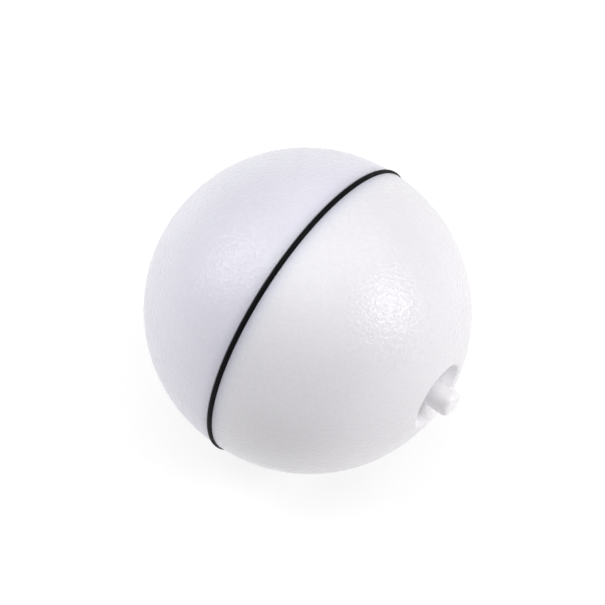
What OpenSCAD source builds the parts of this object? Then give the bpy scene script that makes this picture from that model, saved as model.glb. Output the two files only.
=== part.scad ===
// Self-rolling toy ball: a shell in two screwed halves that rolls round a weighted, motor-driven core.
// The roll axis is Y, the button is at the -Y pole, +Z is up and the origin is the centre of the ball.
// All sizes are in millimetres. Places across the roll axis are written [x, z].

/* [Shell] */
// Outer radius of each half shell
ball_r = 32; // [31.8:0.1:34]
// Wall thickness of the half shells
shell_wall = 2; // [1.8:0.1:2.2]
// Gap between the two rims, where the rubber ring sits
seam_gap = 1.05; // [1:0.05:1.3]
// Length of the threaded neck that enters the button half
neck_len = 5.4; // [5.2:0.1:6]

/* [Rubber ring] */
// Thickness of the ring's cord
ring_cord_d = 1; // [0.8:0.05:1]
// How far the ring stands proud of the shells
ring_proud = 0.4; // [0.2:0.05:0.5]

/* [Thread] */
// Number of thread starts
thread_starts = 4; // [4:1:4]
// Travel along the axis in one full turn
thread_lead = 12; // [12:0.5:13]
// Arc that each thread ridge covers, in degrees
thread_arc = 60; // [40:5:60]

/* [Button] */
// Radius of the button pin
pin_r = 2.75; // [2.6:0.05:2.8]
// How far the pin's tip stands beyond the pole
pin_proud = 2.9; // [2:0.1:4]
// Travel of the button
button_travel = 1.5; // [1:0.1:1.5]
// Radius of the dimple's rim round the pin
dimple_rim_r = 6.9; // [6.6:0.1:7.2]
// Depth of the dimple below its rim
dimple_depth = 4.2; // [4:0.1:4.3]
// Radius that rounds the dimple's rim
dimple_edge_r = 0.7; // [0.4:0.1:0.9]

/* [Gears] */
// Module of every gear
gear_module = 0.4; // [0.4:0.01:0.4]
// Teeth on each pinion
pinion_teeth = 10; // [10:2:10]
// Teeth on each wheel
wheel_teeth = 34; // [34:2:34]
// Clearance between meshing flanks
backlash = 0.08; // [0.06:0.01:0.12]

/* [Core] */
// Radius of the core's frame plate
frame_r = 23.5; // [23.2:0.1:24.5]
// Radius of the circle that the frame's posts stand on
post_circle_r = 17.5; // [17.3:0.1:17.7]
// Half angle of the counterweight's sector, in degrees
weight_half_angle = 40; // [30:1:40]

/* [Battery] */
// Radius of a button cell
cell_r = 5.8; // [5.7:0.05:5.8]
// Thickness of a button cell
cell_t = 5.4; // [5.3:0.05:5.4]
// Number of cells in the stack
cell_count = 3; // [3:1:3]

/* [Hidden] */
$fn = 64;
eps = 0.01;
clear = 0.1;

// Shell, measured from the seam plane
half_gap = seam_gap / 2;
inner_r = ball_r - shell_wall;
ring_outer_r = ball_r + ring_proud;
groove_r = ring_outer_r - ring_cord_d - 0.05;
neck_outer_r = ball_r - 3.6;
neck_inner_r = neck_outer_r - 1.4;
socket_r = neck_outer_r + 1;
socket_depth = neck_len + 0.6;
neck_taper_y = [3, 8.6];
rim_chamfer = 0.12;

// Thread ridges: root and crest widths, height and the overlap that roots them in the wall
ridge_root_w = 1.3;
ridge_crest_w = 0.8;
ridge_h = 0.8;
ridge_root = 0.3;
ridge_steps = 16;
thread_pitch = thread_lead / thread_starts;
male_start_y = -half_gap - 4.35;
female_start_y = male_start_y + thread_pitch / 2;

// Poles
pole_y = ball_r + half_gap;
dimple_rim_y = sqrt(pow(ball_r, 2) - pow(dimple_rim_r, 2)) + half_gap;
dimple_floor_y = dimple_rim_y - dimple_depth;
bowl_depth = dimple_depth + 1.1;
dimple_r = (pow(dimple_rim_r, 2) + pow(bowl_depth, 2)) / (2 * bowl_depth);
dimple_centre_y = dimple_rim_y - bowl_depth + dimple_r;
cup_wall = 1.5;
cup_r = dimple_rim_r + 1.4;
cup_back_y = dimple_floor_y - cup_wall;
journal_r = 4.6;
journal_end_y = 20.5;
guide_r = pin_r + 0.12;
guide_end_y = journal_end_y + 1.2;
pin_head_end_y = dimple_floor_y;
pin_body_r = pin_r - 0.3;
guide_step_y = pin_head_end_y - button_travel - 0.15;
stem_r = 1.35;
stem_end_y = 19;
pin_shoulder_y = guide_end_y + 3;
pin_tip_y = pole_y + pin_proud;
pin_edge_r = 1.1;
pin_clip_y = journal_end_y - 0.2;
pin_clip_t = 0.5;

// Floating bush between the button half and the core
bush_inner_r = journal_r + 0.05;
bush_outer_r = 6.2;
bush_flange_r = 7.2;
bush_flange_t = 0.8;
bush_back_y = cup_back_y - clear;
bush_end_y = 21.4;
bush_clip_groove_r = 4.2;
bush_clip_t = 0.4;

// Drive pole
boss_r = 5;
boss_end_y = 20.5;
hex_r = 3;
hex_end_y = 27.9;
pole_screw_seat_y = 29.8;
pole_screw_r = 1;
pole_recess_r = 2.9;

// Gear train: three layers between the frame plate and the cover
gear_centre = gear_module * (pinion_teeth + wheel_teeth) / 2;
profile_shift = 0.4;
pressure_angle = 20;
gear_t = 1.6;
layer_gap = 0.2;
frame_plate_y = 7;
plate_t = 1.6;
gear_floor_y = frame_plate_y + plate_t;
layer_y = [for (i = [0 : 2]) gear_floor_y + 1.2 + i * (gear_t + layer_gap)];
cover_y = layer_y[2] + gear_t + 0.4;
cover_r = 21.4;
shaft_r = 1;
running = 0.05;
hub_r = 2.92;
hub_collar_r = 4.2;
gear_pin_r = 0.75;
motor_at = [-gear_centre, 0];
gear_pin_at = [0, -gear_centre];

// Core frame and its two ends
post_angles = [90, 210, 330];
post_r = 2.4;
board_y = -10.8;
board_t = 1.2;
board_face_y = board_y - board_t;
board_r = 20;
core_screw_r = 0.8;
core_screw_hole_r = 0.86;
core_screw_head_r = 1.7;
core_screw_head_t = 1.1;
cap_arm_y = -19.6;
cap_arm_t = 1.6;
cap_arm_w = 5;
cap_post_r = 2.8;
cap_hub_r = 7.8;
cap_mouth_r = 5.4;
cap_hub_end_y = -(bush_back_y - bush_flange_t - clear);
cap_bore_r = bush_outer_r + running;
weight_inner_r = 13;
weight_outer_r = frame_r - 0.3;
weight_y = [-9, frame_plate_y];
weight_screw_at = 18.5;
weight_screw_angle = 26;

// Motor, seen along its shaft as a circle with two flats
motor_w = 12;
motor_h = 10;
motor_front_y = frame_plate_y;
motor_back_y = -7.2;
motor_wall = 0.5;
motor_cap_t = 1.2;
motor_shaft_r = 0.5;
motor_screw_z = 3.4;

// Battery tube, with its door facing the button half
cell_at = [13.2, 3.5];
cell_tube_r = 7;
cell_tube_inner_r = cell_r + 0.2;
cell_stack_y = 5;
cell_tube_end_y = -11.5;
door_t = 1.6;
door_r = 7.3;
door_ear_at = cell_at + 8.9 * [cos(115), sin(115)];
door_ear_r = 2.3;

// Switch and board parts
switch_w = 5.8;
switch_top_y = board_face_y - 5;
switch_stem_r = 1.2;
led_r = 1.5;
lead_r = 0.45;

// ---------- Helpers ----------

// A place across the roll axis, from a radius and an angle.
function polar(r, a) = r * [cos(a), sin(a)];

// A rod along Y from y0 to y1.
module rod(r, y0, y1, at = [0, 0]) {
    translate([at[0], min(y0, y1), at[1]])
        rotate([-90, 0, 0])
            cylinder(r = r, h = abs(y1 - y0));
}

// A tube along Y from y0 to y1.
module tube(r_out, r_in, y0, y1, at = [0, 0]) {
    difference() {
        rod(r_out, y0, y1, at);
        rod(r_in, min(y0, y1) - 1, max(y0, y1) + 1, at);
    }
}

// A slab from y0 to y1, from an outline drawn in [x, z].
module slab(y0, y1) {
    translate([0, max(y0, y1), 0])
        rotate([90, 0, 0])
            linear_extrude(abs(y1 - y0)) children();
}

// A body turned about a line along Y, from a profile drawn in [r, y].
module turned(at = [0, 0]) {
    translate([at[0], 0, at[1]]) rotate([-90, 0, 0]) rotate_extrude() children();
}

// A box between two corners, for use in profiles and outlines.
module span(a, b) {
    translate([min(a[0], b[0]), min(a[1], b[1])])
        square([abs(b[0] - a[0]), abs(b[1] - a[1])]);
}

// A solid box between two corners.
module block(a, b) {
    translate([min(a[0], b[0]), min(a[1], b[1]), min(a[2], b[2])])
        cube([abs(b[0] - a[0]), abs(b[1] - a[1]), abs(b[2] - a[2])]);
}

// A sector of a flat ring, centred on an angle.
module sector(r_in, r_out, middle, half) {
    reach = 2 * r_out;
    intersection() {
        difference() {
            circle(r_out);
            circle(r_in);
        }
        polygon([[0, 0], for (i = [-2 : 2]) polar(reach, middle + half * i / 2)]);
    }
}

// A cross-head screw along Y: the head rests on seat_y, on the side that toward (1 or -1) points to.
module screw(at, seat_y, toward, length, r = core_screw_r, head_r = core_screw_head_r,
             head_t = core_screw_head_t) {
    slot = head_r * 0.28;
    difference() {
        union() {
            rod(head_r, seat_y, seat_y + toward * head_t * 0.6, at);
            turned(at) polygon([
                [0, seat_y + toward * head_t * 0.5],
                [head_r, seat_y + toward * head_t * 0.6],
                [head_r * 0.7, seat_y + toward * head_t],
                [0, seat_y + toward * head_t]
            ]);
            rod(r, seat_y + toward * 0.1, seat_y - toward * (length - r), at);
            turned(at) polygon([
                [0, seat_y - toward * (length - r - 0.1)],
                [r, seat_y - toward * (length - r)],
                [r * 0.25, seat_y - toward * length],
                [0, seat_y - toward * length]
            ]);
        }
        for (size = [[slot, head_r * 1.3], [head_r * 1.3, slot]])
            block(
                [at[0] - size[0] / 2, seat_y + toward * head_t * 0.45, at[1] - size[1] / 2],
                [at[0] + size[0] / 2, seat_y + toward * (head_t + 1), at[1] + size[1] / 2]
            );
    }
}

// ---------- Swept wires ----------

// A point on a smooth curve through p, where t counts points.
function curve(p, t) =
    let (i = min(floor(t), len(p) - 2), u = t - i,
         a = p[max(i - 1, 0)], b = p[i], c = p[i + 1], d = p[min(i + 2, len(p) - 1)])
    0.5 * (2 * b + (c - a) * u + (2 * a - 5 * b + 4 * c - d) * u * u
           + (3 * b - a - 3 * c + d) * u * u * u);

function unit(v) = v / norm(v);

// Rings of points round a path, each square to it, turned as little as possible from the last.
function path_frames(path, i = 0, side = [0.3, 0.2, 0.93]) =
    i >= len(path) ? [] :
    let (ahead = unit(path[min(i + 1, len(path) - 1)] - path[max(i - 1, 0)]),
         flat = unit(side - ahead * (side * ahead)))
    concat([[path[i], flat, cross(ahead, flat)]], path_frames(path, i + 1, flat));

// A closed tube of round section along a path.
module swept(path, r, sides = 8) {
    frames = path_frames(path);
    last = len(path) - 1;
    points = [for (f = frames) for (j = [0 : sides - 1])
        f[0] + r * (cos(360 * j / sides) * f[1] + sin(360 * j / sides) * f[2])];
    walls = [for (i = [0 : last - 1]) for (j = [0 : sides - 1])
        let (a = i * sides + j, b = i * sides + (j + 1) % sides)
        each [[a, b + sides, b], [a, a + sides, b + sides]]];
    ends = [[for (j = [0 : sides - 1]) j], [for (j = [sides - 1 : -1 : 0]) last * sides + j]];
    polyhedron(points, concat(walls, ends), convexity = 6);
}

// A lead along a smooth curve through a few points.
module lead(points, steps = 5) {
    swept([for (t = [0 : 1 / steps : len(points) - 1 + eps / steps]) curve(points, t)], lead_r);
}

// A coil about Y at [x, z], from y0 to y1, with a radius that goes from r0 to r1.
function coil(at, y0, y1, r0, r1, turns, per_turn = 16) = [
    for (i = [0 : round(turns * per_turn)])
        let (u = i / (turns * per_turn), r = r0 + (r1 - r0) * u)
        [at[0] + r * cos(360 * turns * u), y0 + (y1 - y0) * u, at[1] + r * sin(360 * turns * u)]
];

// ---------- Shell ----------

// One helical ridge with a trapezoid section, right-handed about Y.
module ridge(root_r, crest_r, start_y) {
    section = [
        [root_r, -ridge_root_w / 2], [crest_r, -ridge_crest_w / 2],
        [crest_r, ridge_crest_w / 2], [root_r, ridge_root_w / 2]
    ];
    points = [for (i = [0 : ridge_steps]) for (c = section)
        let (a = thread_arc * i / ridge_steps)
        [c[0] * cos(a), c[0] * sin(a), start_y + thread_lead * a / 360 + c[1]]];
    walls = [for (i = [0 : ridge_steps - 1]) for (j = [0 : 3])
        let (a = 4 * i + j, b = 4 * i + (j + 1) % 4)
        each [[a, b, b + 4], [a, b + 4, a + 4]]];
    ends = [[3, 2, 1, 0], [for (j = [0 : 3]) 4 * ridge_steps + j]];
    flip = crest_r < root_r;
    faces = concat(walls, ends);
    rotate([-90, 0, 0])
        polyhedron(points, flip ? [for (f = faces) [for (k = [len(f) - 1 : -1 : 0]) f[k]]] : faces);
}

// All the ridges of one side of the thread.
module thread(root_r, crest_r, start_y) {
    for (k = [0 : thread_starts - 1])
        rotate([0, 360 * k / thread_starts, 0]) ridge(root_r, crest_r, start_y);
}

// Chamfer cut from the outer edge of a rim at y = rim, for a shell on the side that toward points to.
module rim_cut(rim, toward) {
    polygon([
        [ball_r - rim_chamfer, rim - toward],
        [ball_r - rim_chamfer, rim],
        [ball_r + 1, rim + toward * (rim_chamfer + 1)],
        [ball_r + 1, rim - toward]
    ]);
}

module drive_half_profile() {
    difference() {
        union() {
            intersection() {
                translate([0, half_gap]) circle(ball_r);
                span([0, half_gap], [ball_r + 1, ball_r + 2]);
            }
            span([0, -half_gap], [groove_r, half_gap + eps]);
            span([0, -half_gap - neck_len], [neck_outer_r, half_gap]);
        }
        difference() {
            union() {
                intersection() {
                    translate([0, half_gap]) circle(inner_r);
                    span([0, neck_taper_y[1]], [ball_r, ball_r + 2]);
                }
                polygon([
                    [0, -half_gap - neck_len - 1],
                    [neck_inner_r, -half_gap - neck_len - 1],
                    [neck_inner_r, neck_taper_y[0]],
                    [sqrt(pow(inner_r, 2) - pow(neck_taper_y[1] - half_gap, 2)), neck_taper_y[1]],
                    [0, neck_taper_y[1] + eps]
                ]);
            }
            span([-1, boss_end_y], [boss_r, ball_r + 2]);
        }
        rim_cut(half_gap, 1);
    }
}

module drive_half_shell() {
    color("whitesmoke") {
        difference() {
            turned() drive_half_profile();
            translate([0, boss_end_y - 1, 0])
                rotate([-90, 0, 0])
                    cylinder(r = hex_r + 0.08, h = hex_end_y + clear - boss_end_y + 1, $fn = 6);
            rod(pole_screw_r + 0.2, hex_end_y - 1, pole_screw_seat_y + 1);
            rod(pole_recess_r, pole_screw_seat_y, pole_y + 1);
        }
        thread(neck_outer_r - ridge_root, neck_outer_r + ridge_h, male_start_y);
    }
}

// Corner that rounding the dimple's rim takes away: the arc touches the ball's outside and the dimple.
module dimple_edge_cut() {
    apart = dimple_centre_y - half_gap;
    outer = ball_r - dimple_edge_r;
    inner = dimple_r + dimple_edge_r;
    along = (outer * outer - inner * inner + apart * apart) / (2 * apart);
    ball_centre = [0, -half_gap];
    dimple_centre = [0, -dimple_centre_y];
    edge_centre = [sqrt(outer * outer - along * along), -half_gap - along];
    corner = [dimple_rim_r, -dimple_rim_y];
    difference() {
        polygon([
            edge_centre,
            ball_centre + (edge_centre - ball_centre) * ball_r / outer,
            edge_centre + (corner - edge_centre) * 2.5,
            dimple_centre + (edge_centre - dimple_centre) * dimple_r / inner
        ]);
        translate(edge_centre) circle(dimple_edge_r);
    }
}

module button_half_profile() {
    difference() {
        union() {
            difference() {
                intersection() {
                    translate([0, -half_gap]) circle(ball_r);
                    span([0, -half_gap], [ball_r + 1, -ball_r - 2]);
                }
                intersection() {
                    translate([0, -half_gap]) circle(inner_r);
                    span([-1, -half_gap - socket_depth + 0.05], [ball_r, -ball_r - 2]);
                }
                span([-1, 1], [socket_r, -half_gap - socket_depth]);
            }
            intersection() {
                translate([0, -half_gap]) circle(inner_r + shell_wall / 2);
                span([0, -cup_back_y], [cup_r, -ball_r - 2]);
            }
            span([0, -journal_end_y], [journal_r, -cup_back_y - eps]);
        }
        intersection() {
            translate([0, -dimple_centre_y]) circle(dimple_r);
            span([-1, -dimple_floor_y], [ball_r, -ball_r - 2]);
        }
        dimple_edge_cut();
        span([-1, -guide_step_y], [guide_r, -ball_r - 2]);
        span([-1, -guide_end_y], [pin_body_r + clear, -guide_step_y - eps]);
        span([-1, -journal_end_y + 1], [stem_r + 0.15, -guide_end_y - eps]);
        span([bush_clip_groove_r, -bush_end_y + 0.1], [journal_r + 1, -bush_end_y + 0.1 + bush_clip_t + clear]);
        rim_cut(-half_gap, -1);
    }
}

module button_half_shell() {
    color("white") {
        turned() button_half_profile();
        thread(socket_r + ridge_root, socket_r - ridge_h, female_start_y);
    }
}

module rubber_ring() {
    color("black") turned() translate([ring_outer_r - ring_cord_d / 2, 0]) circle(d = ring_cord_d);
}

// ---------- Button ----------

module button_pin() {
    color("mistyrose") difference() {
        turned() {
            span([0, -pin_tip_y + pin_edge_r], [pin_r, -pin_head_end_y]);
            span([0, -pin_tip_y], [pin_r - pin_edge_r, -pin_head_end_y]);
            span([0, -pin_head_end_y - eps], [pin_body_r, -pin_shoulder_y]);
            translate([pin_r - pin_edge_r, -pin_tip_y + pin_edge_r]) circle(pin_edge_r);
            span([0, -pin_shoulder_y - eps], [stem_r, -stem_end_y]);
        }
        tube(stem_r + 1, stem_r - 0.25, -pin_clip_y - clear / 2, -pin_clip_y + pin_clip_t + clear / 2);
    }
}

// Clip on the pin's stem that stops the spring from pushing the pin out.
module pin_clip() {
    color("silver") difference() {
        tube(2.5, stem_r - 0.2, -pin_clip_y, -pin_clip_y + pin_clip_t);
        block([-0.8, -pin_clip_y - 1, 0], [0.8, -pin_clip_y + 2, -4]);
    }
}

module button_spring() {
    wire_r = 0.14;
    color("silver") swept(
        coil([0, 0], -guide_end_y - wire_r - 0.02, -pin_shoulder_y + wire_r + 0.02, 2.2, 2.2, 3.5), wire_r);
}

// Bush that turns on the button half's journal and in the core's cap.
module trunnion_bush() {
    color("ivory") turned() difference() {
        union() {
            span([0, -bush_back_y], [bush_flange_r, -bush_back_y + bush_flange_t]);
            span([0, -bush_back_y], [bush_outer_r, -bush_end_y]);
        }
        span([-1, -bush_back_y - 1], [bush_inner_r, 0]);
    }
}

module bush_clip() {
    color("silver") difference() {
        tube(5.8, bush_clip_groove_r + running, -bush_end_y + 0.15, -bush_end_y + 0.15 + bush_clip_t);
        block([-1.2, -bush_end_y - 1, 0], [1.2, 0, -8]);
    }
}

// ---------- Drive line ----------

// Half of the angle that a tooth covers at radius r, less half of the backlash.
function tooth_half_angle(teeth, shift, r) =
    let (pitch_r = gear_module * teeth / 2, base_r = pitch_r * cos(pressure_angle),
         at_pitch = (gear_module * (PI / 2 + 2 * shift * tan(pressure_angle)) - backlash / 2)
             / (2 * pitch_r) * 180 / PI,
         a = acos(min(1, base_r / r)))
    at_pitch + involute(pressure_angle) - involute(a);

function involute(a) = tan(a) * 180 / PI - a;

// A spur gear outline with a tooth centred on the angle turn.
module gear_outline(teeth, shift, turn) {
    pitch_r = gear_module * teeth / 2;
    base_r = pitch_r * cos(pressure_angle);
    tip_r = pitch_r + gear_module * (1 + shift);
    root_r = pitch_r - gear_module * (1.25 - shift);
    flank_r = [for (i = [0 : 4]) max(base_r, root_r) + (tip_r - max(base_r, root_r)) * i / 4];
    polygon([for (k = [0 : teeth - 1]) let (c = turn + 360 * k / teeth) each concat(
        [polar(root_r, c - tooth_half_angle(teeth, shift, flank_r[0]))],
        [for (r = flank_r) polar(r, c - tooth_half_angle(teeth, shift, r))],
        [for (i = [4 : -1 : 0]) polar(flank_r[i], c + tooth_half_angle(teeth, shift, flank_r[i]))],
        [polar(root_r, c + tooth_half_angle(teeth, shift, flank_r[0]))]
    )]);
}

module wheel(at, y, turn) {
    slab(y, y + gear_t) translate(at) gear_outline(wheel_teeth, -profile_shift, turn);
}

module pinion(at, y0, y1, turn) {
    slab(y0, y1) translate(at) gear_outline(pinion_teeth, profile_shift, turn);
}

half_wheel_pitch = 180 / wheel_teeth;
half_pinion_pitch = 180 / pinion_teeth;

// Wheel fixed to the output shaft.
module output_gear() {
    color("ivory") difference() {
        union() {
            wheel([0, 0], layer_y[2], 270 + half_wheel_pitch);
            rod(2.4, layer_y[2], layer_y[2] + gear_t + 0.05);
        }
        rod(shaft_r, 0, 30);
    }
}

module output_shaft() {
    color("silver") rod(shaft_r, gear_floor_y - 4, layer_y[2] + gear_t + 4);
}

// Hub that carries the shaft into the hexagonal socket of the drive half.
module output_hub() {
    base_y = layer_y[2] + gear_t + 0.1;
    color("ivory") difference() {
        union() {
            rod(hub_r, base_y, boss_end_y);
            rod(hub_collar_r, cover_y + plate_t + clear, cover_y + plate_t + 1.6);
            translate([0, boss_end_y - 0.5, 0])
                rotate([-90, 0, 0])
                    cylinder(r = hex_r, h = hex_end_y - boss_end_y + 0.5, $fn = 6);
        }
        rod(shaft_r, base_y - 1, layer_y[2] + gear_t + 4);
        rod(pole_screw_r + 0.02, boss_end_y, hex_end_y + 1);
    }
}

module pole_screw() {
    color("silver") screw([0, 0], pole_screw_seat_y, 1, 8, pole_screw_r, 2.3, 1.6);
}

// First compound gear, free on the output shaft.
module compound_gear_1() {
    color("ivory") difference() {
        union() {
            rod(1.6, gear_floor_y + 0.1, layer_y[0]);
            wheel([0, 0], layer_y[0], 0);
            pinion([0, 0], layer_y[0] + gear_t - eps, layer_y[1] + gear_t + 0.05, 270);
        }
        rod(shaft_r + running, 0, 30);
    }
}

// Second compound gear, free on its own pin.
module compound_gear_2() {
    color("ivory") difference() {
        union() {
            rod(1.6, gear_floor_y + 0.1, layer_y[1], gear_pin_at);
            wheel(gear_pin_at, layer_y[1], 90 + half_wheel_pitch);
            pinion(gear_pin_at, layer_y[1] + gear_t - eps, layer_y[2] + gear_t + 0.1, 90);
        }
        rod(gear_pin_r + running, 0, 30, gear_pin_at);
    }
}

module gear_pin() {
    color("silver") rod(gear_pin_r, frame_plate_y + 0.4, cover_y + 1, gear_pin_at);
}

// ---------- Motor ----------

module motor_outline(grow = 0) {
    translate(motor_at) intersection() {
        circle(motor_w / 2 + grow);
        square([motor_w + 2 * grow, motor_h + 2 * grow], center = true);
    }
}

module motor_can() {
    color("lightsteelblue") difference() {
        union() {
            slab(motor_back_y, motor_front_y) motor_outline();
            rod(2, motor_front_y - eps, motor_front_y + 0.8, motor_at);
        }
        slab(motor_back_y - 1, motor_front_y - motor_wall) motor_outline(-motor_wall);
        rod(motor_shaft_r + running, 0, 12, motor_at);
        for (s = [-1, 1]) rod(0.75, 0, 12, motor_at + [0, s * motor_screw_z]);
    }
}

module motor_magnets() {
    color("dimgray") slab(-4.6, 4.6) translate(motor_at)
        for (middle = [0, 180]) sector(4.35, motor_w / 2 - motor_wall - 0.03, middle, 42);
}

module motor_end_cap() {
    color("white") difference() {
        union() {
            slab(motor_back_y - motor_cap_t, motor_back_y) motor_outline();
            slab(motor_back_y - eps, motor_back_y + 0.6) motor_outline(-motor_wall - 0.05);
        }
        rod(motor_shaft_r + running, motor_back_y - 0.8, 0, motor_at);
        for (s = [-1, 1]) block(
            [motor_at[0] - 0.9, motor_back_y - 3, s * 1.6],
            [motor_at[0] + 0.9, 0, s * 2.1]
        );
    }
}

// Solder tabs that run through the end cap and end in the brushes.
module motor_terminals() {
    color("goldenrod") for (s = [-1, 1]) block(
        [motor_at[0] - 0.8, motor_back_y - motor_cap_t - 1.2, s * 1.65],
        [motor_at[0] + 0.8, motor_back_y + 2.2, s * 2.05]
    );
}

module motor_shaft() {
    color("silver") rod(motor_shaft_r, motor_back_y - 0.7, layer_y[0] + gear_t + 0.1, motor_at);
}

// Three wound poles on the motor shaft.
module motor_armature() {
    color("peru") difference() {
        union() {
            rod(1.8, -3.4, 3.4, motor_at);
            for (a = [90, 210, 330]) {
                slab(-3, 3) translate(motor_at) sector(3.3, 3.9, a, 50);
                slab(-3, 3) translate(motor_at) rotate(a) span([0, -0.5], [3.5, 0.5]);
                slab(-4, 4) translate(motor_at) rotate(a) span([1.4, -1.1], [3.2, 1.1]);
            }
        }
        rod(motor_shaft_r, -10, 10, motor_at);
    }
}

module motor_commutator() {
    color("orange") tube(1.55, motor_shaft_r, motor_back_y + 0.9, motor_back_y + 2.4, motor_at);
}

module motor_pinion() {
    color("gold") difference() {
        pinion(motor_at, layer_y[0], layer_y[0] + gear_t, half_pinion_pitch);
        rod(motor_shaft_r, 0, 20, motor_at);
    }
}

module motor_screws() {
    color("silver") for (s = [-1, 1])
        screw(motor_at + [0, s * motor_screw_z], gear_floor_y, 1, 2.2, 0.7, 1.2, 0.8);
}

// ---------- Core frame ----------

module core_frame() {
    color("gainsboro") difference() {
        union() {
            rod(frame_r, frame_plate_y, gear_floor_y);
            tube(frame_r, frame_r - 1.3, frame_plate_y - 3, frame_plate_y + eps);
            rod(3.2, gear_floor_y - 5.4, frame_plate_y + eps);
            for (a = post_angles) rod(post_r, board_y, cover_y, polar(post_circle_r, a));
            rod(cell_tube_r, cell_tube_end_y, frame_plate_y + eps, cell_at);
            rod(door_ear_r, cell_tube_end_y, -3, door_ear_at);
            slab(-2, frame_plate_y + eps) translate(motor_at)
                square([motor_w + 2, motor_h + 2], center = true);
            slab(-6, frame_plate_y + eps)
                sector(weight_inner_r - 1.3, weight_inner_r - 0.1, 270, weight_half_angle + 1);
        }
        slab(-3, frame_plate_y) motor_outline(0.05);
        rod(shaft_r + running, gear_floor_y - 4.2, 20);
        rod(gear_pin_r, frame_plate_y + 0.3, 20, gear_pin_at);
        rod(2.1, frame_plate_y - 1, 20, motor_at);
        for (s = [-1, 1]) rod(0.78, frame_plate_y - 1, 20, motor_at + [0, s * motor_screw_z]);
        rod(cell_tube_inner_r, cell_tube_end_y - 1, frame_plate_y, cell_at);
        rod(core_screw_hole_r, cell_tube_end_y - 1, cell_tube_end_y + 7, door_ear_at);
        slab(weight_y[0] - 1, frame_plate_y)
            sector(weight_inner_r - 0.05, frame_r + 1, 270, weight_half_angle + 0.5);
        for (a = post_angles) {
            rod(core_screw_hole_r, board_y - 1, board_y + 9, polar(post_circle_r, a));
            rod(core_screw_hole_r, cover_y + 1, cover_y - 6, polar(post_circle_r, a));
        }
        for (s = [-1, 1])
            rod(core_screw_hole_r, 0, 20, polar(weight_screw_at, 270 + s * weight_screw_angle));
    }
}

// Steel block that keeps the core's weight below the roll axis.
module counterweight() {
    color("slategray") difference() {
        slab(weight_y[0], weight_y[1])
            sector(weight_inner_r, weight_outer_r, 270, weight_half_angle);
        for (s = [-1, 1])
            rod(1.1, -20, 20, polar(weight_screw_at, 270 + s * weight_screw_angle));
    }
}

module counterweight_screws() {
    color("silver") for (s = [-1, 1])
        screw(polar(weight_screw_at, 270 + s * weight_screw_angle), weight_y[0], -1, 17.2);
}

// Cup over the gear train, with a bearing for the output hub.
module gearbox_cover() {
    color("gainsboro") difference() {
        union() {
            rod(cover_r, cover_y, cover_y + plate_t);
            tube(cover_r, cover_r - 1.2, gear_floor_y + 0.05, cover_y + eps);
            rod(4.4, cover_y - 0.2, cover_y + plate_t);
        }
        rod(hub_r + running, 0, 30);
        rod(gear_pin_r + 0.02, 0, cover_y + 1.05, gear_pin_at);
        for (a = post_angles) rod(core_screw_r + 0.1, 0, 30, polar(post_circle_r, a));
        for (a = [0, 45, 135, 180])
            slab(cover_y - 1, cover_y + 3) translate(polar(11.5, a)) circle(3.4);
    }
}

module gearbox_screws() {
    color("silver") for (a = post_angles)
        screw(polar(post_circle_r, a), cover_y + plate_t, 1, 7);
}

// Three-legged cap that holds the trunnion bush over the switch.
module bearing_cap() {
    color("gainsboro") difference() {
        union() {
            rod(cap_hub_r, cap_hub_end_y, cap_arm_y);
            slab(cap_arm_y - cap_arm_t, cap_arm_y)
                for (a = post_angles) rotate(a) span([0, -cap_arm_w / 2], [post_circle_r, cap_arm_w / 2]);
            for (a = post_angles)
                rod(cap_post_r, cap_arm_y - cap_arm_t, board_face_y, polar(post_circle_r, a));
        }
        rod(cap_bore_r, -40, -journal_end_y + 0.2);
        rod(cap_mouth_r, -journal_end_y, 0);
        for (a = post_angles) rod(core_screw_r + 0.1, -40, 0, polar(post_circle_r, a));
    }
}

module cap_screws() {
    color("silver") for (a = post_angles)
        screw(polar(post_circle_r, a), cap_arm_y - cap_arm_t, -1, 17);
}

// ---------- Battery ----------

// One button cell; index 0 is the nearest to the frame plate.
module button_cell(index) {
    near = cell_stack_y - index * cell_t;
    far = near - cell_t + 0.02;
    color("silver") turned(cell_at) polygon([
        [0, near], [cell_r - 1, near], [cell_r - 1, near - 0.2], [cell_r - 0.6, near - 0.2],
        [cell_r, near - 0.7], [cell_r, far + 0.3], [cell_r - 0.3, far], [0, far]
    ]);
}

// Conical contact spring between the cells and the frame plate.
module cell_spring() {
    wire_r = 0.22;
    color("silver") swept(
        coil(cell_at, frame_plate_y - wire_r - 0.02, cell_stack_y + wire_r + 0.02, 4.4, 2.6, 2.5), wire_r);
}

module battery_door() {
    outer_y = cell_tube_end_y - door_t;
    color("gainsboro") difference() {
        union() {
            rod(door_r, outer_y, cell_tube_end_y, cell_at);
            rod(door_ear_r + 0.3, outer_y, cell_tube_end_y, door_ear_at);
        }
        rod(core_screw_r + 0.1, outer_y - 1, 0, door_ear_at);
        slab(outer_y - 1, outer_y + 0.6) translate(cell_at) square([8, 1.6], center = true);
    }
}

module door_contact() {
    color("silver") rod(cell_r - 1.2, cell_tube_end_y, cell_tube_end_y + 0.25, cell_at);
}

module door_screw() {
    color("silver") screw(door_ear_at, cell_tube_end_y - door_t, -1, 7);
}

// ---------- Circuit board ----------

module circuit_board() {
    color("seagreen") difference() {
        slab(board_face_y, board_y) difference() {
            circle(board_r);
            span([-30, -30], [30, -12.2]);
            translate(cell_at) circle(8.1);
            translate(door_ear_at) circle(3.2);
            translate([-board_r, 0.8]) circle(1.6);
        }
        for (a = post_angles) rod(core_screw_r + 0.2, -20, 0, polar(post_circle_r, a));
    }
}

module switch_body() {
    half = switch_w / 2;
    color("dimgray") difference() {
        union() {
            block([-half, board_face_y, -half], [half, switch_top_y, half]);
            rod(2.1, switch_top_y + eps, switch_top_y - 0.5);
        }
        rod(switch_stem_r + 0.08, board_face_y - 0.3, -30);
    }
}

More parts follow.
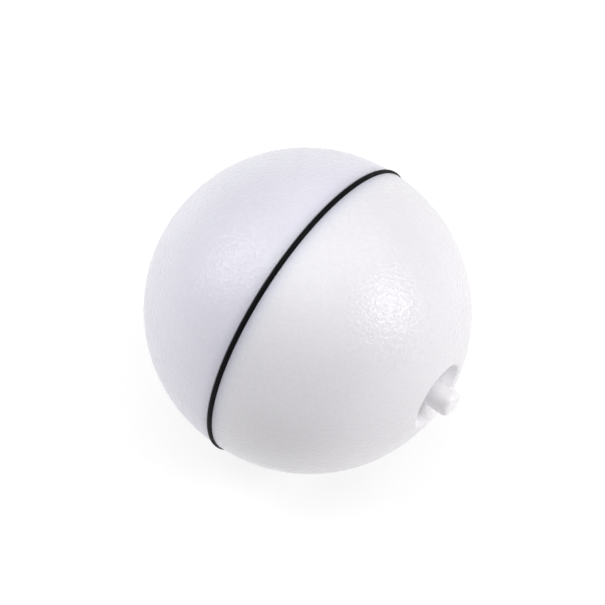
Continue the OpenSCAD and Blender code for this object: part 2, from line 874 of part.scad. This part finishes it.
module switch_stem() {
    color("white") rod(switch_stem_r, board_face_y - 0.35 - button_travel, -stem_end_y + 0.03);
}

module controller_chip() {
    at = [-10, 8];
    color("black") block(
        [at[0] - 2, board_face_y - 0.15, at[1] - 2.5],
        [at[0] + 2, board_face_y - 1.5, at[1] + 2.5]
    );
    color("silver") for (s = [-1, 1]) for (k = [-1.5 : 1 : 1.5]) union() {
        block(
            [at[0] + s * 2, board_face_y - 0.55, at[1] + k * 1.27 - 0.2],
            [at[0] + s * 2.6, board_face_y - 0.85, at[1] + k * 1.27 + 0.2]
        );
        block(
            [at[0] + s * 2.6, board_face_y, at[1] + k * 1.27 - 0.2],
            [at[0] + s * 2.9, board_face_y - 0.85, at[1] + k * 1.27 + 0.2]
        );
    }
}

// Tilt and shake sensor: a sealed tube that lies on the board.
module vibration_sensor() {
    at = [-9.5, -7.6];
    length = 10;
    color("gray") translate([at[0], board_face_y - 1.85, at[1]]) rotate([0, 90, 0]) {
        cylinder(r = 1.8, h = length);
        translate([0, 0, -1.6]) cylinder(r = 0.25, h = length + 3.2);
    }
    color("silver") for (x = [at[0] - 1.6, at[0] + length + 1.6])
        rod(0.25, board_face_y - 2, board_face_y, [x, at[1]]);
}

module capacitor() {
    at = [-15.6, 3.6];
    color("midnightblue") turned(at) polygon([
        [0, board_face_y], [2, board_face_y], [2, board_face_y - 0.6], [1.85, board_face_y - 0.8],
        [2, board_face_y - 1], [2, board_face_y - 5.1], [1.7, board_face_y - 5.4], [0, board_face_y - 5.4]
    ]);
}

module transistor() {
    at = [-12.4, -2.6];
    color("black") block(
        [at[0] - 1.45, board_face_y - 0.1, at[1] - 0.65],
        [at[0] + 1.45, board_face_y - 1.05, at[1] + 0.65]
    );
    color("silver") for (p = [[-0.95, -1], [0.95, -1], [0, 1]]) block(
        [at[0] + p[0] - 0.2, board_face_y, at[1] + p[1] * 0.65],
        [at[0] + p[0] + 0.2, board_face_y - 0.2, at[1] + p[1] * 1.2]
    );
}

// Chip resistors, each with its length along X.
module chip_resistors() {
    color("black") for (at = [[-4.6, 8.6], [-4.6, 6.6], [4.2, -6.6], [-12.2, 14], [-3, 11.8]]) block(
        [at[0] - 1, board_face_y, at[1] - 0.62],
        [at[0] + 1, board_face_y - 0.5, at[1] + 0.62]
    );
}

module led(at) {
    rod(led_r + 0.35, board_face_y - 1.4, board_face_y - 2.3, at);
    rod(led_r, board_face_y - 2.2, board_face_y - 4.6, at);
    translate([at[0], board_face_y - 4.6, at[1]]) sphere(led_r);
    for (s = [-1, 1]) rod(0.25, board_face_y - 1.5, board_face_y, at + [s * 0.9, 0]);
}

module red_led() {
    color("red") led([-6.6, 14.6]);
}

module blue_led() {
    color("dodgerblue") led([8.6, -8.4]);
}

// ---------- Leads ----------

module motor_lead_red() {
    color("firebrick") lead([
        [-8.8, -9.75, 1.2], [-12, -9.8, 1.6], [-17, -9.8, 1.3], [-20.7, -11, 1.3],
        [-20.4, -13.1, 1.2], [-18.2, -13.4, 0.4], [-17.2, -12.4, -0.4]
    ]);
}

module motor_lead_black() {
    color("black") lead([
        [-8.8, -9.75, -1.2], [-12, -9.8, -1], [-17, -9.8, -0.2], [-20.8, -11, 0.2],
        [-20.6, -13.1, -0.2], [-18.4, -13.5, -2], [-17, -12.4, -2.8]
    ]);
}

module battery_lead_red() {
    color("firebrick") lead([
        [5.2, -7.6, 4.6], [5, -9.4, 5.4], [3.8, -9.9, 7.4], [1.6, -9.7, 8.6], [0.6, -10.35, 8.8]
    ]);
}

module battery_lead_black() {
    color("black") lead([
        [6, 4.6, 7.4], [5.4, 1, 8.2], [4.8, -4, 9], [4, -9, 9.8], [2.6, -9.9, 10.8], [1.4, -10.35, 11.2]
    ]);
}

// ---------- Nodes ----------

drive_half_shell();
rubber_ring();
pole_screw();
output_hub();
output_shaft();
output_gear();
button_half_shell();
bush_clip();
trunnion_bush();
button_pin();
pin_clip();
button_spring();
core_frame();
gearbox_cover();
gearbox_screws();
bearing_cap();
cap_screws();
counterweight();
counterweight_screws();
compound_gear_1();
compound_gear_2();
gear_pin();
motor_can();
motor_magnets();
motor_end_cap();
motor_terminals();
motor_screws();
motor_shaft();
motor_armature();
motor_commutator();
motor_pinion();
button_cell(0);  // button_cell_1
button_cell(1);  // button_cell_2
button_cell(2);  // button_cell_3
cell_spring();
battery_door();
door_contact();
door_screw();
circuit_board();
switch_body();
switch_stem();
controller_chip();
vibration_sensor();
capacitor();
transistor();
chip_resistors();
red_led();
blue_led();
motor_lead_red();
motor_lead_black();
battery_lead_red();
battery_lead_black();
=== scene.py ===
import bmesh, bpy, math
from mathutils import Matrix, Vector


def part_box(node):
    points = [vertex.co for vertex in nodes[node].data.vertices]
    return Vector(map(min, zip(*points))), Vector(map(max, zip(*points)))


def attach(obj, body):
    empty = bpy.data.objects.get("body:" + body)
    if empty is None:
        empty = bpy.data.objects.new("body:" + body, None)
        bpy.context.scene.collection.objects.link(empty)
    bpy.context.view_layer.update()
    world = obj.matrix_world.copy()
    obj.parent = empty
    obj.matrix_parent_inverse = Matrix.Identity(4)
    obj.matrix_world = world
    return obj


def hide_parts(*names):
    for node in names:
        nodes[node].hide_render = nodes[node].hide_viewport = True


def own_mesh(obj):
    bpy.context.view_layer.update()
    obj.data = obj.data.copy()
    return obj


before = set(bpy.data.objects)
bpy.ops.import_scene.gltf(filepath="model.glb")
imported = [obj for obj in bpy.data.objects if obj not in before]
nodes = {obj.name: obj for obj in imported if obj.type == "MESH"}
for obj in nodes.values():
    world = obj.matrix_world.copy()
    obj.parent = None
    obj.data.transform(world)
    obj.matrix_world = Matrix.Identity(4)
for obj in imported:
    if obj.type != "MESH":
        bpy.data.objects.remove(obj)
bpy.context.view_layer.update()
scene = bpy.context.scene
scene.view_settings.view_transform = "Standard"
MM = 0.001
BALL_R = 32 * MM        # radius of the shells
PIN_SPAN = 40 * MM      # how far out along the roll axis the pin's colours run
SHADE_SPAN = 6.0        # mm either side of the seam that its painted shade covers
SHADOW_PATCH_SPAN = 50 * MM    # how far from its centre the floor's glow fades in, out of the painted contact shadow
SHADOW_PATCH_OFF = (11 * MM, 8 * MM)  # the painted contact shadow's centre, where the ball hides it from the camera
DOME_R = 2.2            # metres, inside the clip distance of the low views

# ---------- Camera: at the photograph's angle, 0.8 m from the ball ----------

right = Vector((0.599, -0.801, 0.0)).normalized()
back = Vector((-0.392, -0.293, 0.872)).normalized()
up = back.cross(right).normalized()
right = up.cross(back).normalized()
distance = 0.8
move_left, move_up = 1.0406 * MM, 1.6231 * MM  # puts the ball where it stands in the photograph
camera = bpy.data.objects.new("camera", bpy.data.cameras.new("camera"))
scene.collection.objects.link(camera)
camera.data.sensor_width = 36
camera.data.lens = 241.081  # mm, which gives the ball the width it has in the photograph
camera.data.clip_start, camera.data.clip_end = 0.05, 20
camera.rotation_mode = "QUATERNION"
camera.rotation_quaternion = Matrix((right, up, back)).transposed().to_quaternion()
camera.location = back * distance - right * move_left + up * move_up
scene.camera = camera


# ---------- Light ----------

def panel(name, direction, far, size, power, colour=(1, 1, 1)):
    """A soft round light, placed by a direction in the camera's own axes."""
    d = (right * direction[0] + up * direction[1] + back * direction[2]).normalized()
    light = bpy.data.lights.new(name, "AREA")
    light.shape, light.size = "DISK", size
    light.energy, light.color = power, colour
    o = bpy.data.objects.new(name, light)
    scene.collection.objects.link(o)
    o.location = d * far
    o.rotation_mode = "QUATERNION"
    o.rotation_quaternion = d.to_track_quat("Z", "Y")


panel("overhead", (0.0, 0.49, 0.872), 1.0, 0.8, 3.95, (0.95, 0.98, 1.0))
panel("soft_left", (-0.85, 0.35, 0.38), 0.9, 0.3, 1.8, (0.94, 0.92, 1.0))
panel("upper_left", (-0.6, 0.6, 0.53), 0.9, 0.4, 2.2, (0.98, 1.0, 0.93))
panel("upper_edge", (0.0, 0.95, 0.3), 0.9, 0.4, 0.4)
panel("upper_right", (0.6, 0.6, 0.53), 0.9, 0.4, 1.5)
panel("soft_right", (0.85, 0.06, 0.52), 0.9, 0.42, 3.6, (1.0, 0.98, 1.0))
panel("glint_right", (0.706, 0.007, 0.707), 0.9, 0.14, 0.35)
panel("glint_left", (-0.795, 0.605, 0.0), 0.9, 0.12, 0.22)
panel("low_left", (-0.7, -0.45, 0.55), 0.9, 0.3, 0.05)
panel("low_front", (-0.23, -0.85, 0.49), 0.9, 0.07, 0.28)
panel("front", (0.0, 0.0, 1.0), 0.9, 0.4, 0.12)

world = bpy.data.worlds.new("world")
scene.world = world
world.use_nodes = True
sky = world.node_tree.nodes["Background"]
sky.inputs["Color"].default_value = (1, 1, 1, 1)
sky.inputs["Strength"].default_value = 0.14


# ---------- Material tools ----------

class Look:
    """A principled material with a few procedural layers, all in object coordinates."""

    def __init__(self, name, colour, rough, metal=0.0, **inputs):
        self.m = bpy.data.materials.new(name)
        self.m.use_nodes = True
        self.t = self.m.node_tree
        self.b = self.t.nodes["Principled BSDF"]
        self.b.inputs["Base Color"].default_value = (*colour, 1)
        self.b.inputs["Roughness"].default_value = rough
        self.b.inputs["Metallic"].default_value = metal
        for k, v in inputs.items():
            self.b.inputs[k.replace("_", " ")].default_value = v
        self.coord = self.t.nodes.new("ShaderNodeTexCoord").outputs["Object"]
        self.normal = None

    def new(self, kind, **settings):
        n = self.t.nodes.new(kind)
        for k, v in settings.items():
            setattr(n, k, v)
        return n

    def link(self, a, b):
        self.t.links.new(a, b)

    def stretched(self, scale):
        """Object coordinates, scaled along each axis."""
        n = self.new("ShaderNodeMapping")
        n.inputs["Scale"].default_value = scale
        self.link(self.coord, n.inputs["Vector"])
        return n.outputs["Vector"]

    def split(self, axis):
        """One of the three object coordinates, in metres."""
        n = self.new("ShaderNodeSeparateXYZ")
        self.link(self.coord, n.inputs[0])
        return n.outputs[axis]

    def noise(self, scale, detail=2.0, vector=None):
        n = self.new("ShaderNodeTexNoise")
        n.inputs["Scale"].default_value = scale
        n.inputs["Detail"].default_value = detail
        self.link(vector or self.coord, n.inputs["Vector"])
        return n.outputs["Fac"]

    def cells(self, scale, feature="F1", randomness=1.0):
        n = self.new("ShaderNodeTexVoronoi", feature=feature)
        n.inputs["Scale"].default_value = scale
        n.inputs["Randomness"].default_value = randomness
        self.link(self.coord, n.inputs["Vector"])
        return n.outputs["Distance"]

    def wave(self, scale, direction="X", kind="BANDS"):
        n = self.new("ShaderNodeTexWave", wave_type=kind)
        if kind == "BANDS":
            n.bands_direction = direction
        else:
            n.rings_direction = direction
        n.inputs["Scale"].default_value = scale
        self.link(self.coord, n.inputs["Vector"])
        return n.outputs["Fac"]

    def ramp(self, value, stops):
        n = self.new("ShaderNodeValToRGB")
        e = n.color_ramp.elements
        while len(e) < len(stops):
            e.new(0.5)
        for k, (at, c) in enumerate(stops):
            e[k].position = at
            e[k].color = (*c, 1)
        self.link(value, n.inputs["Fac"])
        return n.outputs["Color"]

    def math(self, op, a, b=None):
        n = self.new("ShaderNodeMath", operation=op)
        for k, v in enumerate((a, b)):
            if v is None:
                continue
            if isinstance(v, (int, float)):
                n.inputs[k].default_value = v
            else:
                self.link(v, n.inputs[k])
        return n.outputs[0]

    def mix(self, fac, a, b, blend="MIX"):
        n = self.new("ShaderNodeMix", data_type="RGBA", blend_type=blend)
        for socket, v in ((n.inputs[0], fac), (n.inputs[6], a), (n.inputs[7], b)):
            if isinstance(v, (int, float)):
                socket.default_value = v
            elif isinstance(v, tuple):
                socket.default_value = (*v, 1)
            else:
                self.link(v, socket)
        return n.outputs[2]

    def paint(self, colour):
        self.link(colour, self.b.inputs["Base Color"])
        return self

    def varied(self, value, low, high):
        """Base colour that drifts between two shades."""
        return self.paint(self.ramp(value, [(0.3, low), (0.7, high)]))

    def roughness(self, value, low, high):
        n = self.new("ShaderNodeMapRange")
        n.inputs["From Min"].default_value, n.inputs["From Max"].default_value = 0.3, 0.7
        n.inputs["To Min"].default_value, n.inputs["To Max"].default_value = low, high
        self.link(value, n.inputs["Value"])
        self.link(n.outputs["Result"], self.b.inputs["Roughness"])
        return self

    def bump(self, height, distance, strength=1.0, layer="Normal"):
        n = self.new("ShaderNodeBump")
        n.inputs["Strength"].default_value = strength
        n.inputs["Distance"].default_value = distance
        self.link(height, n.inputs["Height"])
        if self.normal is not None:
            self.link(self.normal, n.inputs["Normal"])
        self.normal = n.outputs["Normal"]
        self.link(self.normal, self.b.inputs[layer])
        return self

    def on(self, *names):
        for name in names:
            slots = nodes[name].data.materials
            slots.clear()
            slots.append(self.m)
        return self


def shade(c, k):
    return tuple(min(1.0, v * k) for v in c)


# ---------- Shell, ring and button ----------

def along_axis(k, stops, span):
    """A colour set by how far a point lies from the seam plane, with stops in millimetres."""
    off = k.math("MULTIPLY", k.math("ABSOLUTE", k.split("Y")), 1 / (span * MM))
    return k.ramp(off, [(at / span, c) for at, c in stops])


# Painted shade beside the black ring, darker and cooler towards it: distance from the seam plane in mm, then
# the tint there.
DRIVE_SEAM_PAINTED_SHADE = [(0.55, (0.74, 0.735, 0.755)), (1.0, (0.80, 0.795, 0.815)), (1.3, (0.84, 0.84, 0.86)),
              (1.6, (0.88, 0.885, 0.895)), (2.0, (0.915, 0.92, 0.935)), (2.5, (0.96, 0.96, 0.97)),
              (3.1, (0.98, 0.98, 0.985)), (5.0, (1.0, 1.0, 1.0))]
BUTTON_SEAM_PAINTED_SHADE = [(0.55, (0.63, 0.64, 0.71)), (1.0, (0.70, 0.71, 0.775)), (1.3, (0.78, 0.785, 0.85)),
               (1.6, (0.835, 0.85, 0.90)), (2.0, (0.885, 0.905, 0.945)), (2.5, (0.93, 0.95, 0.975)),
               (3.1, (0.97, 0.98, 0.99)), (4.5, (1.0, 1.0, 1.0))]


def shell_look(name, colour, seam):
    """Milky moulded plastic with a fine fleck and painted shade beside the seam, and eroded grain in its coat
    to break up the highlights.
    """
    k = Look(name, colour, 0.5, Subsurface_Weight=0.25, Subsurface_Scale=0.0016, Specular_IOR_Level=0.1,
             Coat_Weight=0.9, Coat_IOR=1.47, Coat_Roughness=0.25)
    k.b.inputs["Subsurface Radius"].default_value = (1.0, 0.95, 0.92)
    cloud = k.ramp(k.noise(60, 3), [(0.3, shade(colour, 0.985)), (0.7, shade(colour, 1.012))])
    fleck = k.ramp(k.noise(1500, 1), [(0.35, (0.965, 0.965, 0.965)), (0.65, (1.0, 1.0, 1.0))])
    # The random cloud times the painted shade beside the seam.
    tone = k.mix(1.0, cloud, along_axis(k, seam, SHADE_SPAN), "MULTIPLY")
    k.paint(k.mix(1.0, tone, fleck, "MULTIPLY"))
    k.roughness(k.noise(1300, 2), 0.45, 0.6)
    k.bump(k.cells(1500, feature="SMOOTH_F1"), 0.00018, 0.9, "Coat Normal")
    k.bump(k.noise(1900, 2), 0.00012, 0.9, "Coat Normal")
    return k


def inside(k, radius, soft):
    """1 within a radius of the roll axis and 0 beyond it, with a soft edge."""
    squares = [k.math("POWER", k.split(axis), 2.0) for axis in ("X", "Z")]
    across = k.math("SQRT", k.math("ADD", *squares))
    n = k.new("ShaderNodeMapRange")
    n.inputs["From Min"].default_value, n.inputs["From Max"].default_value = radius * MM, (radius + soft) * MM
    n.inputs["To Min"].default_value, n.inputs["To Max"].default_value = 1.0, 0.0
    k.link(across, n.inputs["Value"])
    return n.outputs["Result"]


shell_look("shell_drive_half", (0.705, 0.692, 0.765), DRIVE_SEAM_PAINTED_SHADE).on("drive_half_shell")
near = shell_look("shell_button_half", (0.748, 0.730, 0.757), BUTTON_SEAM_PAINTED_SHADE)
body_colour_and_seam_shade = near.b.inputs["Base Color"].links[0].from_socket
# Painted light and shade in the cup round the button: lighter near its rim, and painted shade darkening its
# floor.
depth = near.math("MULTIPLY", near.math("ABSOLUTE", near.split("Y")), 1 / BALL_R)
cup_painted_light_and_shade = near.ramp(depth, [(0.87, (0.48, 0.47, 0.49)), (0.90, (0.74, 0.73, 0.75)), (0.93, (0.93, 0.92, 0.94)),
                        (0.99, (0.92, 0.91, 0.93))])
near.paint(near.mix(inside(near, 6.6, 0.7), body_colour_and_seam_shade, cup_painted_light_and_shade))
near.on("button_half_shell")

ring = Look("rubber", (0.003, 0.003, 0.0035), 0.55, IOR=1.4, Specular_IOR_Level=0.12)
ring.roughness(ring.noise(900, 2), 0.5, 0.7)
ring.bump(ring.noise(2500, 2), 0.00002, 0.5).on("rubber_ring")

pin = Look("pin_plastic", (0.83, 0.795, 0.81), 0.26, Subsurface_Weight=0.3, Subsurface_Scale=0.0012, IOR=1.5)
pin.b.inputs["Subsurface Radius"].default_value = (1.0, 0.85, 0.8)
tone = pin.ramp(pin.math("MULTIPLY", pin.math("ABSOLUTE", pin.split("Y")), 1 / PIN_SPAN),
                [(0.76, (0.80, 0.79, 0.84)), (0.82, (0.84, 0.81, 0.82)), (0.88, (0.78, 0.765, 0.775))])
pin.paint(pin.mix(pin.noise(450, 2), tone, (0.80, 0.78, 0.80)))
pin.roughness(pin.noise(900, 2), 0.20, 0.30)
pin.bump(pin.noise(500, 1), 0.00001, 0.15).on("button_pin")

# ---------- Inside ----------

frame_grey = Look("frame_plastic", (0.62, 0.64, 0.66), 0.5, Subsurface_Weight=0.1, Subsurface_Scale=0.001)
frame_grey.varied(frame_grey.noise(90, 3), (0.60, 0.62, 0.64), (0.64, 0.66, 0.68))
frame_grey.bump(frame_grey.cells(2200, feature="SMOOTH_F1"), 0.00004, 0.5)
frame_grey.on("core_frame", "gearbox_cover", "bearing_cap", "battery_door")

acetal = Look("gear_acetal", (0.80, 0.77, 0.66), 0.33, Subsurface_Weight=0.3, Subsurface_Scale=0.001)
acetal.varied(acetal.noise(250, 2), (0.78, 0.75, 0.64), (0.82, 0.79, 0.69))
acetal.bump(acetal.noise(2600, 2), 0.00002, 0.4)
acetal.on("output_hub", "output_gear", "trunnion_bush", "compound_gear_1", "compound_gear_2")

steel = Look("steel", (0.55, 0.56, 0.58), 0.28, 1.0)
steel.roughness(steel.noise(900, 3), 0.22, 0.4)
steel.bump(steel.noise(1, 3, vector=steel.stretched((3000, 300, 3000))), 0.00001, 0.5)
steel.on("pole_screw", "output_shaft", "gearbox_screws", "cap_screws", "counterweight_screws", "gear_pin",
         "motor_screws", "motor_shaft", "door_screw")

spring = Look("spring_wire", (0.60, 0.60, 0.62), 0.22, 1.0)
spring.roughness(spring.noise(1500, 2), 0.18, 0.34)
spring.on("cell_spring", "button_spring", "bush_clip", "pin_clip", "door_contact")

weight = Look("zinc_plate", (0.50, 0.52, 0.55), 0.42, 1.0)
weight.varied(weight.cells(350), (0.42, 0.44, 0.48), (0.56, 0.58, 0.60))
weight.roughness(weight.noise(500, 3), 0.32, 0.55)
weight.bump(weight.noise(1400, 3), 0.00003, 0.5).on("counterweight")

can = Look("motor_can", (0.62, 0.63, 0.64), 0.3, 1.0)
can.roughness(can.noise(1, 3, vector=can.stretched((400, 4000, 400))), 0.22, 0.45)
can.bump(can.noise(1, 3, vector=can.stretched((300, 5000, 300))), 0.00001, 0.6).on("motor_can")

magnet = Look("ferrite", (0.06, 0.06, 0.065), 0.75)
magnet.varied(magnet.noise(900, 4), (0.04, 0.04, 0.045), (0.09, 0.09, 0.095))
magnet.bump(magnet.noise(2500, 3), 0.00005, 0.6).on("motor_magnets")

nylon = Look("white_nylon", (0.80, 0.80, 0.77), 0.4, Subsurface_Weight=0.2, Subsurface_Scale=0.001)
nylon.varied(nylon.noise(300, 2), (0.77, 0.77, 0.73), (0.82, 0.82, 0.80))
nylon.bump(nylon.noise(2400, 2), 0.00002, 0.5).on("motor_end_cap", "switch_stem")

brass = Look("brass", (0.80, 0.58, 0.24), 0.25, 1.0)
brass.varied(brass.noise(400, 3), (0.72, 0.50, 0.19), (0.84, 0.63, 0.28))
brass.roughness(brass.noise(1200, 3), 0.18, 0.38).on("motor_terminals", "motor_pinion")

winding = Look("winding", (0.55, 0.20, 0.07), 0.3, 0.85, Coat_Weight=0.6)
winding.varied(winding.wave(900, "Z"), (0.36, 0.11, 0.04), (0.66, 0.27, 0.10))
winding.bump(winding.wave(900, "Z"), 0.00008, 0.9).on("motor_armature")

copper = Look("copper", (0.80, 0.42, 0.25), 0.28, 1.0)
copper.varied(copper.noise(700, 3), (0.70, 0.34, 0.19), (0.84, 0.47, 0.30))
copper.roughness(copper.noise(1500, 2), 0.2, 0.4).on("motor_commutator")

cell = Look("cell_steel", (0.70, 0.70, 0.71), 0.22, 1.0)
cell.roughness(cell.noise(700, 3), 0.16, 0.34)
cell.bump(cell.wave(700, "Y", kind="RINGS"), 0.00001, 0.25)
cell.on("button_cell_1", "button_cell_2", "button_cell_3")

board = Look("solder_mask", (0.02, 0.17, 0.07), 0.32, Coat_Weight=0.3)
tracks = board.cells(230, feature="DISTANCE_TO_EDGE", randomness=0.35)
board.paint(board.ramp(tracks, [(0.06, (0.05, 0.28, 0.11)), (0.09, (0.016, 0.14, 0.055))]))
board.bump(board.ramp(tracks, [(0.06, (1, 1, 1)), (0.1, (0, 0, 0))]), 0.00004, 0.6)
board.bump(board.wave(900, "X"), 0.00001, 0.2).on("circuit_board")

black = Look("black_epoxy", (0.018, 0.018, 0.02), 0.55)
black.roughness(black.noise(1500, 3), 0.45, 0.7)
black.bump(black.noise(4000, 3), 0.00003, 0.6)
black.on("switch_body", "controller_chip", "transistor", "chip_resistors")

sensor = Look("sensor_can", (0.66, 0.60, 0.45), 0.3, 1.0)
sensor.roughness(sensor.noise(900, 3), 0.22, 0.4).on("vibration_sensor")

sleeve = Look("capacitor_sleeve", (0.02, 0.035, 0.12), 0.3, Coat_Weight=0.4)
sleeve.varied(sleeve.noise(400, 2), (0.016, 0.03, 0.10), (0.03, 0.05, 0.15))
sleeve.bump(sleeve.noise(900, 2), 0.00003, 0.4).on("capacitor")

for name, colour in (("red_led", (0.75, 0.03, 0.02)), ("blue_led", (0.06, 0.22, 0.85))):
    lens = Look(name + "_lens", colour, 0.12, Transmission_Weight=0.5, Subsurface_Weight=0.3,
                Subsurface_Scale=0.001)
    lens.varied(lens.noise(600, 2), shade(colour, 0.9), shade(colour, 1.1))
    lens.roughness(lens.noise(1500, 2), 0.08, 0.18).on(name)

for name, colour in (("red", (0.50, 0.02, 0.015)), ("black", (0.015, 0.015, 0.016))):
    wire = Look("wire_" + name, colour, 0.42)
    wire.varied(wire.noise(500, 2), shade(colour, 0.85), shade(colour, 1.15))
    wire.bump(wire.noise(2500, 2), 0.00003, 0.5).on("motor_lead_" + name, "battery_lead_" + name)

# ---------- Button spring: shortens as the button is pressed ----------

def wire_coil(name, y0, y1, coil_r, wire_r, turns, per_turn=28, sides=10):
    """A coil spring along Y with a closed turn at each end."""
    rings = int(turns * per_turn)
    verts, faces = [], []
    for i in range(rings + 1):
        t = i / rings
        dead = 0.9 / turns
        rise = min(max((t - dead) / (1 - 2 * dead), 0.0), 1.0)
        at_end = min(t / dead, 1.0) - min((1 - t) / dead, 1.0)
        y = y0 + wire_r + (y1 - y0 - 2 * wire_r) * (rise * 0.86 + 0.07 + at_end * 0.07)
        a = 2 * math.pi * turns * t
        outward = Vector((math.cos(a), 0.0, math.sin(a)))
        centre = Vector((0.0, y, 0.0)) + outward * coil_r
        for j in range(sides):
            b = 2 * math.pi * j / sides
            verts.append(centre + outward * (wire_r * math.cos(b)) + Vector((0.0, wire_r * math.sin(b), 0.0)))
    for i in range(rings):
        for j in range(sides):
            k = (j + 1) % sides
            faces.append((i * sides + j, i * sides + k, (i + 1) * sides + k, (i + 1) * sides + j))
    faces.append(tuple(range(sides)))
    faces.append(tuple(rings * sides + j for j in reversed(range(sides))))
    coil = bpy.data.meshes.new(name)
    coil.from_pydata([tuple(v) for v in verts], [], faces)
    for polygon in coil.polygons:
        polygon.use_smooth = len(polygon.vertices) == 4
    coil.materials.append(spring.m)
    o = bpy.data.objects.new(name, coil)
    scene.collection.objects.link(o)
    return o


low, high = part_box("button_spring")
button_coil = wire_coil("button_coil", low.y, high.y, 2.2 * MM, 0.14 * MM, 4.6)
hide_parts("button_spring")
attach(button_coil, "button_half")
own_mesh(button_coil)

# ---------- Floor ----------

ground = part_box("rubber_ring")[0].z
mesh = bpy.data.meshes.new("floor")
reach_m = 3.0
mesh.from_pydata([(x, y, ground) for x, y in ((-reach_m, -reach_m), (reach_m, -reach_m),
                                              (reach_m, reach_m), (-reach_m, reach_m))],
                 [], [(0, 1, 2, 3)])
floor = bpy.data.objects.new("floor", mesh)
scene.collection.objects.link(floor)
# The paper glows a little, which keeps it near white, and the glow fades out under the ball into a painted
# contact shadow.
paper = Look("paper", (0.36, 0.36, 0.36), 0.9, Emission_Color=(1, 1, 1, 1), Emission_Strength=0.67)
from_shadow_centre = paper.new("ShaderNodeMapping")
from_shadow_centre.inputs["Location"].default_value = (-SHADOW_PATCH_OFF[0], -SHADOW_PATCH_OFF[1], -ground)
paper.link(paper.coord, from_shadow_centre.inputs["Vector"])
shadow_reach = paper.new("ShaderNodeVectorMath", operation="LENGTH")
paper.link(from_shadow_centre.outputs["Vector"], shadow_reach.inputs[0])
paper.link(paper.ramp(paper.math("MULTIPLY", shadow_reach.outputs["Value"], 1 / SHADOW_PATCH_SPAN),
                      [(0.36, (0.0, 0.0, 0.0)), (0.62, (1.0, 1.0, 1.0))]), paper.b.inputs["Emission Color"])
paper.bump(paper.noise(900, 3), 0.00002, 0.3)
mesh.materials.append(paper.m)

# A pale backdrop for the low views, which only the camera sees: it lights nothing.
dome = bpy.data.meshes.new("backdrop")
bm = bmesh.new()
bmesh.ops.create_uvsphere(bm, u_segments=48, v_segments=24, radius=DOME_R)
bm.to_mesh(dome)
bm.free()
backdrop = bpy.data.objects.new("backdrop", dome)
scene.collection.objects.link(backdrop)
for ray in ("diffuse", "glossy", "transmission", "volume_scatter", "shadow"):
    setattr(backdrop, "visible_" + ray, False)
pale = Look("backdrop", (0, 0, 0), 1.0, Emission_Color=(1, 1, 1, 1), Emission_Strength=0.9,
            Specular_IOR_Level=0.0)
dome.materials.append(pale.m)
